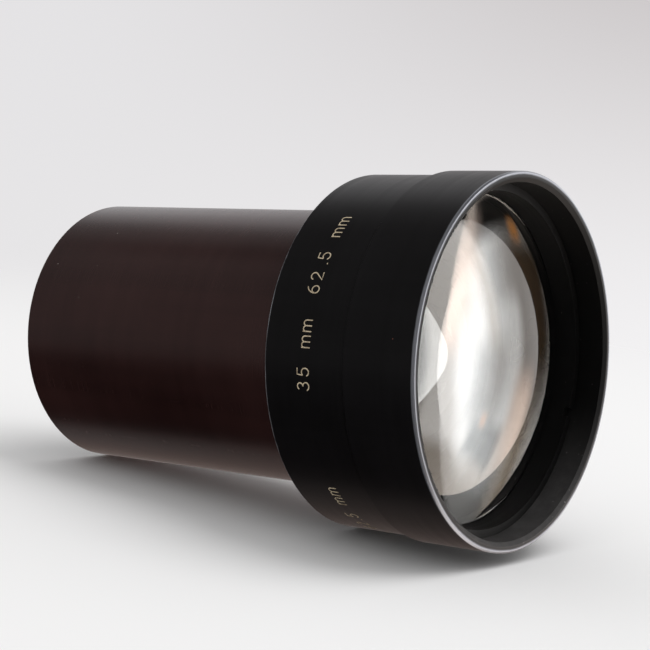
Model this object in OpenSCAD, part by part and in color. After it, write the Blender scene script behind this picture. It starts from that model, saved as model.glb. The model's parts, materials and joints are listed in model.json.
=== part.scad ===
// Projection lens for a 35 mm cinema projector: six glasses in four groups,
// 109 mm focal length at f/1.6, in a plain 62.5 mm barrel with a wider head.
// The optical axis is Y. The front glass looks along -Y, the barrel points
// along +Y, and the origin is on the axis at the shoulder, where the head's
// rear face meets the barrel. Every piece is turned, so its profile is drawn
// as radius across and place along the axis up.

/* [Barrel] */
// Outer diameter of the barrel, the size that the projector's holder clamps
barrel_d = 62.5; // [60:0.1:66]
// Depth of the open recess behind the locking ring, which sets the barrel's length
rear_recess = 7.5; // [4:0.1:30]
// Wall of the barrel behind its inner lip
barrel_wall = 2.25; // [1.6:0.05:2.8]
// Wall of the barrel in front of that lip, round the front doublet
barrel_front_wall = 2.35; // [1.8:0.05:3]
// Height of the lip inside the barrel that the spacer tube bears on
barrel_lip_h = 2.4; // [1:0.1:4]
// Thickness of that lip along the axis
barrel_lip_t = 2.5; // [1.5:0.1:4]
// Step of the register that centres the barrel in the head's rear wall
register_step = 0.6; // [0.4:0.05:1]
// Chamfer on the outside of the barrel's rear edge
barrel_chamfer = 0.7; // [0.2:0.1:1]
// Chamfer on the inside of that edge
bore_chamfer = 0.5; // [0.2:0.1:0.8]

/* [Head] */
// Height of the shoulder, from the barrel out to the engraved head
shoulder_h = 8.15; // [7:0.05:10]
// Length of the head, from its seam with the front cell to the shoulder
head_len = 20.4; // [17:0.1:24]
// Wall of the head around the front cell's shank
head_wall = 1.5; // [1.2:0.05:1.9]
// Thickness of the head's rear wall
head_back = 3; // [2:0.1:5]
// Chamfer on the head's rear edge
head_chamfer = 0.4; // [0.1:0.05:0.8]

/* [Front cell] */
// How far the hood stands out over the head
hood_step = 0.9; // [0.3:0.05:2]
// Wall of the hood round its bore, which the retaining ring screws into
hood_wall = 2.3; // [1.8:0.05:3]
// Wall of the shank round the front glass
pocket_wall = 1.15; // [0.8:0.05:1.5]
// Edge break on the outside of the hood's front rim
hood_edge = 0.3; // [0.1:0.05:0.6]
// Width of the chamfer on the inside of the hood's front rim
hood_chamfer_w = 0.85; // [0.3:0.05:1.2]
// Depth of that chamfer
hood_chamfer_h = 0.7; // [0.3:0.05:1.2]
// Chamfer on the hood's rear edge, at the seam
seam_chamfer = 0.3; // [0.1:0.05:0.6]
// Thickness of the lip that the front glass rests on
cell_lip_t = 2; // [1.2:0.1:3]
// Depth of the light traps cut inside the shank and the spacer tube
trap_depth = 0.6; // [0.2:0.1:0.8]
// Spacing of the light traps
trap_pitch = 1.4; // [1:0.1:2]

/* [Front glass] */
// Radius of its front surface
front_r1 = 72; // [60:0.5:90]
// Radius of its rear surface
front_r2 = 168; // [140:1:220]
// Thickness of the front glass at its centre
front_t = 12.5; // [10:0.1:15]
// Width of the flat land ground round its rear face
front_land = 2.2; // [1.5:0.1:3]
// How far its centre lies behind the hood's rim
front_setback = 2.3; // [1:0.1:6]

/* [Front doublet] */
// Air between the front glass and the doublet
front_air = 2; // [1.5:0.1:4]
// Radius of the doublet's front surface
crown_r = 40; // [34:0.2:50]
// Thickness of its front glass at the rim
crown_edge = 1.4; // [1:0.1:4]
// How far that glass stands out over the glass behind it
crown_step = 3; // [2:0.1:4]
// Radius of the cemented surface
cement_r = 580; // [300:5:1200]
// Radius of the hollow rear surface
flint_r = 24; // [20:0.1:30]
// Thickness of the rear glass at its centre
flint_t = 2.5; // [1.5:0.1:4]
// Depth of the hollow, down from the flat land round it
flint_hollow = 11.2; // [8:0.1:14]

/* [Aperture stop] */
// Width of the stop plate, from the barrel's bore in to its aperture of 35.7 mm
stop_w = 11.1; // [8:0.1:19]
// Thickness of the stop plate
stop_t = 0.8; // [0.5:0.1:1.5]
// Air between the front doublet and the stop
stop_air_front = 24; // [19:0.1:29]
// Air between the stop and the rear doublet
stop_air_rear = 9; // [7.3:0.1:12]
// Thickness of the brass shim that sets the middle air space
shim_t = 0.4; // [0.1:0.05:1]

/* [Rear doublet] */
// Radius of the rear doublet's hollow front surface
rear_flint_r = 29.5; // [24:0.1:36]
// Depth of that hollow, down from the flat land round it
rear_hollow = 6.5; // [4:0.1:7.8]
// Thickness of the front glass at its centre
rear_flint_t = 5; // [4:0.1:7]
// How far the rear glass stands out over the front one
rear_step = 2.8; // [2:0.1:4]
// Radius of the rear surface
rear_crown_r = 40; // [33:0.2:50]
// Thickness of the rear glass at its centre
rear_crown_t = 16; // [13:0.1:19]

/* [Rear glass] */
// Air between the rear doublet and the rear glass
rear_air = 2; // [1.5:0.1:4]
// Radius of its front surface
rear_r1 = 122; // [98:1:180]
// Radius of its rear surface
rear_r2 = 177; // [140:1:260]
// Thickness of the rear glass at its centre
rear_t = 11; // [9:0.1:13]
// Wall of the rear cell round the rear glasses
cell_wall = 4.25; // [3.4:0.05:5.1]
// Depth of the thread for the rear ring in the cell's bore
rear_thread_h = 0.9; // [0.6:0.05:1.2]

/* [Rings] */
// How far each retaining ring reaches over the edge of its glass
ring_reach = 1.2; // [0.8:0.1:1.6]
// Reach of the front ring over its glass
front_ring_reach = 0.8; // [0.5:0.1:1.2]
// Length of the front retaining ring
front_ring_len = 5.2; // [3:0.1:6.4]
// How much wider the front ring opens at its front face than at the glass
front_ring_flare = 0.4; // [0:0.05:1]
// Length of the front doublet's ring
doublet_ring_len = 3.3; // [2:0.1:5]
// Length of the rear glass's ring
rear_ring_len = 3; // [2:0.1:5]
// Length of the ring that locks the rear cell in the barrel
lock_ring_len = 3.5; // [2.5:0.1:5]
// Wall of that locking ring
lock_ring_wall = 2.8; // [2:0.1:3.4]
// Width of the spanner slots in the rings
slot_w = 2; // [1:0.1:3]
// Depth of the spanner slots
slot_h = 1.2; // [0.6:0.1:2]
// Wall of the rear spacer ring
spacer_wall = 1.25; // [0.8:0.05:1.8]
// Wall of the spacer tube in the middle of the barrel
tube_wall = 1.75; // [1.2:0.05:2.2]

/* [Screws] */
// Number of screws that hold the barrel's flange in the head
flange_screws_n = 4; // [3:1:8]
// Thread diameter of the flange screws
flange_screw_d = 2; // [1.6:0.1:2.4]
// Number of screws that hold the stop plate
stop_screws_n = 3; // [2:1:6]
// Thread diameter of the stop plate's screws
stop_screw_d = 1.4; // [1:0.1:1.8]
// Length of those screws under the head
stop_screw_len = 4; // [3:0.1:6]
// Thread diameter of the grub screw that locks the front cell
grub_d = 2; // [1.6:0.1:3]
// Length of the grub screw
grub_len = 2.8; // [2:0.1:3.6]

/* [Fits] */
// Gap round each glass in its seat
glass_play = 0.1; // [0.03:0.01:0.2]
// Gap between a screwed ring and its thread's bore
thread_play = 0.05; // [0.02:0.01:0.15]
// Gap where a seat meets a curved glass, and in the cement of a doublet
seat_gap = 0.02; // [0.01:0.01:0.1]
// Gap that lets one piece end clear of the next one along the axis
end_gap = 0.3; // [0.1:0.05:0.6]

/* [Hidden] */

// Facets round a turned piece, round a glass surface's profile and round a screw
turned_fn = 144;
glass_fn = 720;
screw_fn = 32;
// Overrun of every cut
over = 0.5;

// Depth of a spherical surface at a height h above the axis, and its height at a depth
function sag(r, h) = r - sqrt(r * r - h * h);
function height_at(r, depth) = sqrt(r * r - (r - depth) * (r - depth));

// Radii of the metal, worked inwards from the barrel, the head and the hood
barrel_r = barrel_d / 2;
register_r = barrel_r + register_step;
barrel_bore_r = barrel_r - barrel_wall;
barrel_lip_r = barrel_bore_r - barrel_lip_h;
flint_bore_r = barrel_r - barrel_front_wall;
head_r = barrel_r + shoulder_h;
head_bore_r = head_r - head_wall;
shank_r = head_bore_r - thread_play;
hood_r = head_r + hood_step;
hood_bore_r = hood_r - hood_wall;
front_pocket_r = shank_r - pocket_wall;
cell_r = barrel_bore_r - thread_play;
rear_pocket_r = cell_r - cell_wall;
rear_flint_pocket_r = rear_pocket_r - rear_step;

// Radii of the glasses, which fit those pockets
front_edge_r = front_pocket_r - glass_play;
front_clear_r = front_edge_r - front_land;
flint_edge_r = flint_bore_r - glass_play;
crown_edge_r = flint_edge_r + crown_step;
crown_pocket_r = crown_edge_r + glass_play;
rear_edge_r = rear_pocket_r - glass_play;
rear_flint_edge_r = rear_flint_pocket_r - glass_play;
flint_bowl_r = height_at(flint_r, flint_hollow);

// The front doublet sits on a step in the barrel's flange, in front of the head's
// rear wall. Metal is left behind the step.
flange_floor = 0.6;
flange_rear_y = -head_back;
doublet_seat_y = flange_rear_y - flange_floor;

// Places of the glass surfaces on the axis, forwards and backwards from that seat
v4 = doublet_seat_y + sag(cement_r, flint_bore_r) - seat_gap;
v3 = v4 - crown_edge - sag(crown_r, crown_edge_r) - sag(cement_r, crown_edge_r);
v2 = v3 - front_air;
v1 = v2 - front_t;
v5 = v4 + flint_t;
stop_y = v5 + stop_air_front;
v6 = stop_y + stop_air_rear;
v7 = v6 + rear_flint_t;
v8 = v7 + rear_crown_t;
v9 = v8 + rear_air;
v10 = v9 + rear_t;
rim_y = v1 - front_setback;
seam_y = -head_len;

// Front glass: its rear land, and the ring that holds it
front_land_y = v2 + sag(front_r2, front_clear_r);
front_ring_r = hood_bore_r - thread_play;
front_ring_in_r = front_edge_r - front_ring_reach;
front_ring_y = v1 + sag(front_r1, front_ring_in_r) - seat_gap;
front_ring_front_y = front_ring_y - front_ring_len;
// Step between the ring's thread and the glass pocket, just behind the ring
thread_relief = 0.4;
front_pocket_y = front_ring_y + thread_relief;

// Front doublet: the ring that holds it, and the land round its hollow
doublet_ring_r = crown_pocket_r - thread_play;
doublet_ring_in_r = crown_edge_r - ring_reach;
doublet_ring_y = v3 + sag(crown_r, doublet_ring_in_r) - seat_gap;
doublet_ring_front_y = doublet_ring_y - doublet_ring_len;
flint_land_y = v5 + flint_hollow;
flange_front_y = doublet_ring_front_y;
shank_end_y = flange_front_y - end_gap;
shank_in_r = front_clear_r;

// Barrel: the lip behind the front doublet
lip_front_y = flint_land_y + end_gap;
lip_rear_y = lip_front_y + barrel_lip_t;

// Stop: the plate screwed to the rear cell, and what spaces it off the lip
stop_front_y = stop_y - stop_t / 2;
stop_rear_y = stop_y + stop_t / 2;
stop_hole_r = cell_r - stop_w;
tube_in_r = cell_r - tube_wall;
shim_front_y = stop_front_y - shim_t;

// Rear cell: the pockets, the step under the doublet and the thread at its end
rear_land_y = v6 - rear_hollow;
rear_ring_bore_r = rear_pocket_r + rear_thread_h;
rear_ring_r = rear_ring_bore_r - thread_play;
rear_ring_in_r = rear_edge_r - ring_reach;
rear_ring_y = v10 - sag(rear_r2, rear_ring_in_r) + seat_gap;
rear_ring_end_y = rear_ring_y + rear_ring_len;
rear_thread_y = v10 - sag(rear_r2, rear_edge_r) - rear_thread_h;
cell_end_y = rear_ring_end_y + end_gap;
spacer_r = rear_pocket_r - thread_play;
spacer_in_r = spacer_r - spacer_wall;
spacer_front_y = v8 - sag(rear_crown_r, spacer_in_r) + seat_gap;
spacer_rear_y = v9 + sag(rear_r1, spacer_in_r) - seat_gap;
// Middle of the cell turned down, so that it bears on two lands
cell_relief = 0.5;
cell_land_len = 9;
lock_ring_y = cell_end_y + seat_gap;
lock_ring_end_y = lock_ring_y + lock_ring_len;
lock_ring_in_r = cell_r - lock_ring_wall;
barrel_end_y = lock_ring_end_y + rear_recess;

// Share of a light trap's pitch that its groove takes
trap_share = 0.9;

// Screws: the shares of their size that set heads, slots and threads
head_share = 0.94;
thread_share = 0.75;
slot_w_share = 0.24;
slot_h_share = 0.45;
hole_play = 0.1;
flange_screw_r = flange_screw_d / 2;
flange_head_r = flange_screw_d * head_share;
flange_pcd_r = (crown_pocket_r + shank_r) / 2;
flange_screw_end_y = flange_rear_y * (1 - thread_share);
stop_screw_r = stop_screw_d / 2;
stop_head_r = stop_screw_d * head_share;
stop_head_h = stop_screw_r;
stop_pcd_r = (rear_flint_pocket_r + tube_in_r) / 2;
grub_r = grub_d / 2;
grub_sink = 0.2;
grub_y = (max(seam_y, front_land_y) + shank_end_y) / 2;
grub_angle = 45;
slot_angle = 20;

// Turns a profile about the optical axis
module turned() {
    rotate([-90, 0, 0])
        rotate_extrude($fn = turned_fn)
            children();
}

// One rectangle of a profile
module band(r_in, r_out, y_from, y_to) {
    translate([r_in, y_from])
        square([r_out - r_in, y_to - y_from]);
}

// Profile of a ball centred on the axis
module ball(r, y) {
    translate([0, y])
        circle(r, $fn = glass_fn);
}

// Places children round the axis, n of them, with the first at an angle
module around(n, angle) {
    for (i = [0:n - 1])
        rotate([0, angle + i * 360 / n, 0])
            children();
}

// Two opposite spanner slots in a ring's face at y, cut towards +Y for a sign of 1
module spanner_slots(r, y, sign) {
    around(2, slot_angle)
        translate([0, y - (sign > 0 ? over : slot_h), -slot_w / 2])
            cube([r + over, slot_h + over, slot_w]);
}

// V-shaped light traps along a bore, for a profile
module light_traps(r, y_from, y_to) {
    count = floor((y_to - y_from) / trap_pitch);
    first = (y_from + y_to - count * trap_pitch) / 2;
    for (i = [0:1:count - 1])
        translate([r, first + i * trap_pitch])
            polygon([
                [-over, 0],
                [0, 0],
                [trap_depth, trap_pitch * trap_share / 2],
                [0, trap_pitch * trap_share],
                [-over, trap_pitch * trap_share]
            ]);
}

// Countersunk slotted screw along +Y, with its head's face at the origin
module sunk_screw(r, head_r, len) {
    difference() {
        turned() {
            polygon([[0, 0], [head_r, 0], [r, head_r - r], [r, len], [0, len]]);
        }
        translate([-head_r - over, -over, -head_r * slot_w_share])
            cube([2 * (head_r + over), over + (head_r - r) * slot_h_share, 2 * head_r * slot_w_share]);
    }
}

// Cheese-head slotted screw along +Y, with its head standing in front of the origin
module cheese_screw(r, head_r, head_h, len) {
    difference() {
        turned() {
            band(0, head_r, -head_h, 0);
            band(0, r, -over / 2, len);
        }
        translate([-head_r - over, -head_h - over, -head_r * slot_w_share])
            cube([2 * (head_r + over), over + head_h * slot_h_share, 2 * head_r * slot_w_share]);
    }
}

// Barrel with a flange at its front, which the head traps, and a lip inside
module barrel_tube() {
    color([0.11, 0.075, 0.07])
    difference() {
        turned() {
            difference() {
                union() {
                    band(0, shank_r, flange_front_y, flange_rear_y);
                    band(0, register_r, flange_rear_y - over / 2, 0);
                    polygon([
                        [0, -over],
                        [barrel_r, -over],
                        [barrel_r, barrel_end_y - barrel_chamfer],
                        [barrel_r - barrel_chamfer, barrel_end_y],
                        [0, barrel_end_y]
                    ]);
                }
                band(0, crown_pocket_r, flange_front_y - over, doublet_seat_y);
                band(0, flint_bore_r, doublet_seat_y - over, lip_front_y);
                band(0, barrel_lip_r, lip_front_y - over, lip_rear_y + over);
                band(0, barrel_bore_r, lip_rear_y, barrel_end_y + over);
                polygon([
                    [barrel_bore_r - over, barrel_end_y - bore_chamfer - over],
                    [barrel_bore_r + bore_chamfer + over, barrel_end_y + over],
                    [barrel_bore_r - over, barrel_end_y + over]
                ]);
            }
        }
        around(flange_screws_n, 0)
            translate([flange_pcd_r, flange_front_y, 0])
                turned()
                    polygon([
                        [0, -over],
                        [flange_head_r + hole_play, -over],
                        [flange_head_r + hole_play, 0],
                        [flange_screw_r + hole_play, flange_head_r - flange_screw_r],
                        [flange_screw_r + hole_play, flange_rear_y - flange_front_y + over],
                        [0, flange_rear_y - flange_front_y + over]
                    ]);
    }
}

// Head: a sleeve with a rear wall that traps the barrel's flange
module head_sleeve() {
    color([0.06, 0.06, 0.065])
    difference() {
        turned() {
            difference() {
                polygon([
                    [0, seam_y],
                    [head_r, seam_y],
                    [head_r, -head_chamfer],
                    [head_r - head_chamfer, 0],
                    [0, 0]
                ]);
                band(0, head_bore_r, seam_y - over, flange_rear_y + seat_gap);
                band(0, register_r + thread_play, seam_y, over);
            }
        }
        around(flange_screws_n, 0)
            translate([flange_pcd_r, flange_rear_y - over, 0])
                rotate([-90, 0, 0])
                    cylinder(r = flange_screw_r + thread_play, h = over + flange_screw_end_y + end_gap - flange_rear_y, $fn = screw_fn);
        grub_place()
            translate([0, 0, head_bore_r - over])
                cylinder(r = grub_r + thread_play, h = head_wall + 2 * over, $fn = screw_fn);
    }
}

// Looks outwards from the axis at the grub screw
module grub_place() {
    translate([0, grub_y, 0])
        rotate([0, 90 + grub_angle, 0])
            children();
}

// Front cell: the hood round the front glass, its seat, and the shank in the head
module front_cell() {
    color([0.05, 0.05, 0.055])
    difference() {
        turned() {
            difference() {
                union() {
                    polygon([
                        [0, rim_y],
                        [hood_r - hood_edge, rim_y],
                        [hood_r, rim_y + hood_edge],
                        [hood_r, seam_y - seam_chamfer],
                        [hood_r - seam_chamfer, seam_y],
                        [0, seam_y]
                    ]);
                    band(0, shank_r, seam_y - over, shank_end_y);
                }
                polygon([
                    [0, rim_y - over],
                    [hood_bore_r + hood_chamfer_w, rim_y - over],
                    [hood_bore_r + hood_chamfer_w, rim_y],
                    [hood_bore_r, rim_y + hood_chamfer_h],
                    [hood_bore_r, front_pocket_y],
                    [front_pocket_r, front_pocket_y],
                    [front_pocket_r, front_land_y + seat_gap],
                    [shank_in_r, front_land_y + seat_gap],
                    [shank_in_r, shank_end_y + over],
                    [0, shank_end_y + over]
                ]);
                light_traps(shank_in_r, front_land_y + cell_lip_t, shank_end_y);
            }
        }
        grub_place()
            translate([0, 0, head_r - grub_sink - grub_len - end_gap])
                cylinder(r = grub_r + thread_play, h = grub_len, $fn = screw_fn);
    }
}

// Screwed ring in front of the front glass, flared towards the rim
module front_retaining_ring() {
    color([0.12, 0.12, 0.12])
    difference() {
        turned()
            polygon([
                [front_ring_in_r + front_ring_flare, front_ring_front_y],
                [front_ring_r, front_ring_front_y],
                [front_ring_r, front_ring_y],
                [front_ring_in_r, front_ring_y]
            ]);
        spanner_slots(front_ring_r, front_ring_front_y, 1);
    }
}

// Front glass, a meniscus with its round side out and a flat land behind
module front_element() {
    color([0.8, 0.86, 0.88, 0.5])
    turned()
        difference() {
            intersection() {
                band(0, front_edge_r, v1 - over, front_land_y);
                ball(front_r1, v1 + front_r1);
            }
            ball(front_r2, v2 + front_r2);
        }
}

// Screwed ring in front of the front doublet
module doublet_retaining_ring() {
    color([0.1, 0.1, 0.1])
    difference() {
        turned()
            band(doublet_ring_in_r, doublet_ring_r, doublet_ring_front_y, doublet_ring_y);
        spanner_slots(doublet_ring_r, doublet_ring_front_y, 1);
    }
}

// Front glass of the front doublet
module front_doublet_crown() {
    color([0.8, 0.86, 0.88, 0.5])
    turned()
        intersection() {
            band(0, crown_edge_r, v3 - over, v4 + over);
            ball(crown_r, v3 + crown_r);
            ball(cement_r, v4 - cement_r);
        }
}

// Rear glass of the front doublet, hollow behind, with a flat land round the hollow
module front_doublet_flint() {
    color([0.82, 0.84, 0.8, 0.5])
    turned()
        difference() {
            band(0, flint_edge_r, v4 - sag(cement_r, flint_edge_r) - over, flint_land_y);
            ball(cement_r, v4 - cement_r + seat_gap);
            ball(flint_r, v5 + flint_r);
        }
}

// Screws through the barrel's flange into the head's rear wall
module flange_screws() {
    color([0.35, 0.35, 0.36])
    around(flange_screws_n, 0)
        translate([flange_pcd_r, flange_front_y + hole_play, 0])
            sunk_screw(flange_screw_r, flange_head_r, flange_screw_end_y - flange_front_y - hole_play);
}

// Grub screw that locks the front cell in the head
module lock_screw() {
    color([0.2, 0.2, 0.2])
    grub_place()
        translate([0, 0, head_r - grub_sink - grub_len])
            difference() {
                cylinder(r = grub_r, h = grub_len, $fn = screw_fn);
                translate([-grub_r - over, -grub_d * slot_w_share / 2, grub_len - grub_d * slot_h_share])
                    cube([2 * (grub_r + over), grub_d * slot_w_share, grub_len]);
            }
}

// Tube between the barrel's lip and the stop, grooved inside against stray light
module spacer_tube() {
    color([0.09, 0.09, 0.09])
    turned()
        difference() {
            band(tube_in_r, cell_r, lip_rear_y, shim_front_y);
            light_traps(tube_in_r, lip_rear_y + trap_pitch, shim_front_y - trap_pitch);
        }
}

// Brass shim that sets the air space between the two halves
module shim_ring() {
    color([0.7, 0.55, 0.25])
    turned()
        band(tube_in_r, cell_r, shim_front_y, stop_front_y);
}

// Fixed aperture, sharp at its front edge
module stop_plate() {
    color([0.05, 0.05, 0.05])
    difference() {
        turned()
            polygon([
                [stop_hole_r, stop_front_y],
                [cell_r, stop_front_y],
                [cell_r, stop_rear_y],
                [stop_hole_r + stop_t, stop_rear_y]
            ]);
        around(stop_screws_n, 0)
            translate([stop_pcd_r, stop_front_y - over, 0])
                rotate([-90, 0, 0])
                    cylinder(r = stop_screw_r + hole_play, h = stop_t + 2 * over, $fn = screw_fn);
    }
}

// Screws that hold the stop plate on the rear cell
module stop_plate_screws() {
    color([0.4, 0.4, 0.4])
    around(stop_screws_n, 0)
        translate([stop_pcd_r, stop_front_y, 0])
            cheese_screw(stop_screw_r, stop_head_r, stop_head_h, stop_screw_len);
}

// Rear cell: stepped pockets for the rear glasses, in a body that bears on two lands
module rear_cell() {
    color([0.1, 0.1, 0.1])
    difference() {
        turned() {
            difference() {
                band(0, cell_r, stop_rear_y, cell_end_y);
                band(cell_r - cell_relief, cell_r + over, stop_rear_y + cell_land_len, cell_end_y - cell_land_len);
                polygon([
                    [0, stop_rear_y - over],
                    [rear_flint_pocket_r, stop_rear_y - over],
                    [rear_flint_pocket_r, v7],
                    [rear_pocket_r, v7],
                    [rear_pocket_r, rear_thread_y],
                    [rear_ring_bore_r, rear_thread_y],
                    [rear_ring_bore_r, cell_end_y + over],
                    [0, cell_end_y + over]
                ]);
            }
        }
        around(stop_screws_n, 0)
            translate([stop_pcd_r, stop_rear_y - over, 0])
                rotate([-90, 0, 0])
                    cylinder(r = stop_screw_r + thread_play, h = over + stop_screw_len - stop_t + end_gap, $fn = screw_fn);
    }
}

// Front glass of the rear doublet, hollow in front
module rear_doublet_flint() {
    color([0.82, 0.84, 0.8, 0.5])
    turned()
        difference() {
            band(0, rear_flint_edge_r, rear_land_y, v7 - seat_gap);
            ball(rear_flint_r, v6 - rear_flint_r);
        }
}

// Rear glass of the rear doublet
module rear_doublet_crown() {
    color([0.8, 0.86, 0.88, 0.5])
    turned()
        intersection() {
            band(0, rear_edge_r, v7, v8 + over);
            ball(rear_crown_r, v8 - rear_crown_r);
        }
}

// Ring that spaces the rear glass off the rear doublet
module rear_spacer_ring() {
    color([0.1, 0.1, 0.1])
    turned()
        band(spacer_in_r, spacer_r, spacer_front_y, spacer_rear_y);
}

// Rear glass, round on both sides
module rear_element() {
    color([0.8, 0.86, 0.88, 0.5])
    turned()
        intersection() {
            band(0, rear_edge_r, v9 - over, v10 + over);
            ball(rear_r1, v9 + rear_r1);
            ball(rear_r2, v10 - rear_r2);
        }
}

// Screwed ring behind the rear glass
module rear_retaining_ring() {
    color([0.12, 0.12, 0.12])
    difference() {
        turned()
            band(rear_ring_in_r, rear_ring_r, rear_ring_y, rear_ring_end_y);
        spanner_slots(rear_ring_r, rear_ring_end_y, -1);
    }
}

// Screwed ring that locks the rear cell in the barrel
module cell_lock_ring() {
    color([0.1, 0.1, 0.1])
    difference() {
        turned()
            band(lock_ring_in_r, cell_r, lock_ring_y, lock_ring_end_y);
        spanner_slots(cell_r, lock_ring_end_y, -1);
    }
}

barrel_tube();
head_sleeve();
front_cell();
front_retaining_ring();
front_element();
doublet_retaining_ring();
front_doublet_crown();
front_doublet_flint();
flange_screws();
lock_screw();
spacer_tube();
shim_ring();
stop_plate();
stop_plate_screws();
rear_cell();
rear_doublet_flint();
rear_doublet_crown();
rear_spacer_ring();
rear_element();
rear_retaining_ring();
cell_lock_ring();
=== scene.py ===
import json
import math

import bmesh
import bpy
from mathutils import Matrix, Vector


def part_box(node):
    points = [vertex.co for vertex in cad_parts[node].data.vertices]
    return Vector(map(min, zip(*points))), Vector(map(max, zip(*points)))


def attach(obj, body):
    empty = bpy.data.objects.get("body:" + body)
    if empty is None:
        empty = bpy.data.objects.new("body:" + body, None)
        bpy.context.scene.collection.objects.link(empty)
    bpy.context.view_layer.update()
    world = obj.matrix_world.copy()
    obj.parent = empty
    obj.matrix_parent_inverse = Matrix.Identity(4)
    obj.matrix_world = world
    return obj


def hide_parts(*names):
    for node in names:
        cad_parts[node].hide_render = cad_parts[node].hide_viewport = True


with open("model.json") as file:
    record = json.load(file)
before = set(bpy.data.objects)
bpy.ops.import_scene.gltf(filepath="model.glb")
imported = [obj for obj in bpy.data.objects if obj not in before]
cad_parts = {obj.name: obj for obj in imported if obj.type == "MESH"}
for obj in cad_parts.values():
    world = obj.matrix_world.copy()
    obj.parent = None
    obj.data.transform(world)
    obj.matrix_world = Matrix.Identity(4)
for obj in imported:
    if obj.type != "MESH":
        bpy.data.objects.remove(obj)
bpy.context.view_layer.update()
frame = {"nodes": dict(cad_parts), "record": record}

print("frame loaded:", len(frame["nodes"]), "nodes")

scene = bpy.context.scene
scene.view_settings.view_transform = "Standard"
mm = 0.001

# sizes that several pieces use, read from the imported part
mounts = {mount["name"]: mount for mount in frame["record"]["mounts"]}
barrelRadius = mounts["barrel"]["dims"]["r_mm"] * mm
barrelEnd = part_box("barrel_tube")[1].y
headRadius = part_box("head_sleeve")[1].x
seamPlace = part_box("head_sleeve")[0].y
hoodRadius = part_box("front_cell")[1].x
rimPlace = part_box("front_cell")[0].y

# small sizes that the part's boxes don't tell
barrelChamfer = 0.7 * mm
headChamfer = 0.4 * mm
hoodWall = 2.3 * mm
hoodChamferDepth = 0.7 * mm


# camera, placed where the photograph was taken from

photoCamera = {
    "turn": -53.17,          # degrees round the lens, from straight in front
    "lift": 1.92,            # degrees above the optical axis
    "roll": 2.56,
    "distance": 379.1 * mm,
    "aside": -11.36 * mm,
    "above": 5.33 * mm,
    "focalPixels": 1691.3,   # focal length in pixels of the picture
    "picturePixels": 650,
    "sensor": 36,
    "nearest": 0.01,
    "farthest": 50,
}


def makeCamera(values):
    turn, lift, roll = (math.radians(values[key]) for key in ("turn", "lift", "roll"))
    back = Vector((math.sin(turn) * math.cos(lift), -math.cos(turn) * math.cos(lift), math.sin(lift)))
    level = Vector((math.cos(turn), math.sin(turn), 0))
    upright = back.cross(level)
    right = math.cos(roll) * level + math.sin(roll) * upright
    up = math.cos(roll) * upright - math.sin(roll) * level
    spot = back * values["distance"] + level * values["aside"] + upright * values["above"]
    data = bpy.data.cameras.new("photoCamera")
    data.sensor_width = values["sensor"]
    data.lens = values["focalPixels"] * values["sensor"] / values["picturePixels"]
    data.clip_start = values["nearest"]
    data.clip_end = values["farthest"]
    camera = bpy.data.objects.new("photoCamera", data)
    camera.matrix_world = Matrix((
        (right.x, up.x, back.x, spot.x),
        (right.y, up.y, back.y, spot.y),
        (right.z, up.z, back.z, spot.z),
        (0, 0, 0, 1),
    ))
    scene.collection.objects.link(camera)
    scene.camera = camera


makeCamera(photoCamera)
print("camera placed")


# short ways to make shader nodes

def feed(tree, socket, value):
    if isinstance(value, bpy.types.NodeSocket):
        tree.links.new(value, socket)
    else:
        socket.default_value = value


def sums(tree, operation, *values, clamp=False):
    node = tree.nodes.new("ShaderNodeMath")
    node.operation = operation
    node.use_clamp = clamp
    for socket, value in zip(node.inputs, values):
        feed(tree, socket, value)
    return node.outputs[0]


def plus(tree, first, second, clamp=False):
    return sums(tree, "ADD", first, second, clamp=clamp)


def minus(tree, first, second, clamp=False):
    return sums(tree, "SUBTRACT", first, second, clamp=clamp)


def times(tree, first, second):
    return sums(tree, "MULTIPLY", first, second)


def diagonal(tree, first, second):        # also the distance from the axis, from x and z
    return sums(tree, "SQRT", plus(tree, times(tree, first, first), times(tree, second, second)))


def smoothStep(tree, value, low, high):   # 0 at low, 1 at high
    node = tree.nodes.new("ShaderNodeMapRange")
    node.interpolation_type = "SMOOTHSTEP"
    for name, number in (("Value", value), ("From Min", low), ("From Max", high)):
        feed(tree, node.inputs[name], number)
    return node.outputs["Result"]


def between(tree, value, low, high):      # a mask from 0 to 1 spread from low to high
    node = tree.nodes.new("ShaderNodeMapRange")
    for name, number in (("Value", value), ("To Min", low), ("To Max", high)):
        feed(tree, node.inputs[name], number)
    return node.outputs["Result"]


def mixColour(tree, amount, first, second):
    node = tree.nodes.new("ShaderNodeMix")
    node.data_type = "RGBA"
    feed(tree, node.inputs[0], amount)
    for socket, value in ((node.inputs[6], first), (node.inputs[7], second)):
        feed(tree, socket, value if isinstance(value, bpy.types.NodeSocket) else (*value, 1))
    return node.outputs[2]


def noise(tree, vector, scale, detail=2, roughness=0.5):
    node = tree.nodes.new("ShaderNodeTexNoise")
    feed(tree, node.inputs["Vector"], vector)
    feed(tree, node.inputs["Scale"], scale)
    node.inputs["Detail"].default_value = detail
    node.inputs["Roughness"].default_value = roughness
    return node.outputs["Factor"] if "Factor" in node.outputs else node.outputs["Fac"]


def apart(tree, vector):
    node = tree.nodes.new("ShaderNodeSeparateXYZ")
    feed(tree, node.inputs[0], vector)
    return node.outputs


def together(tree, x, y, z):
    node = tree.nodes.new("ShaderNodeCombineXYZ")
    for socket, value in zip(node.inputs, (x, y, z)):
        feed(tree, socket, value)
    return node.outputs[0]


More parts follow.
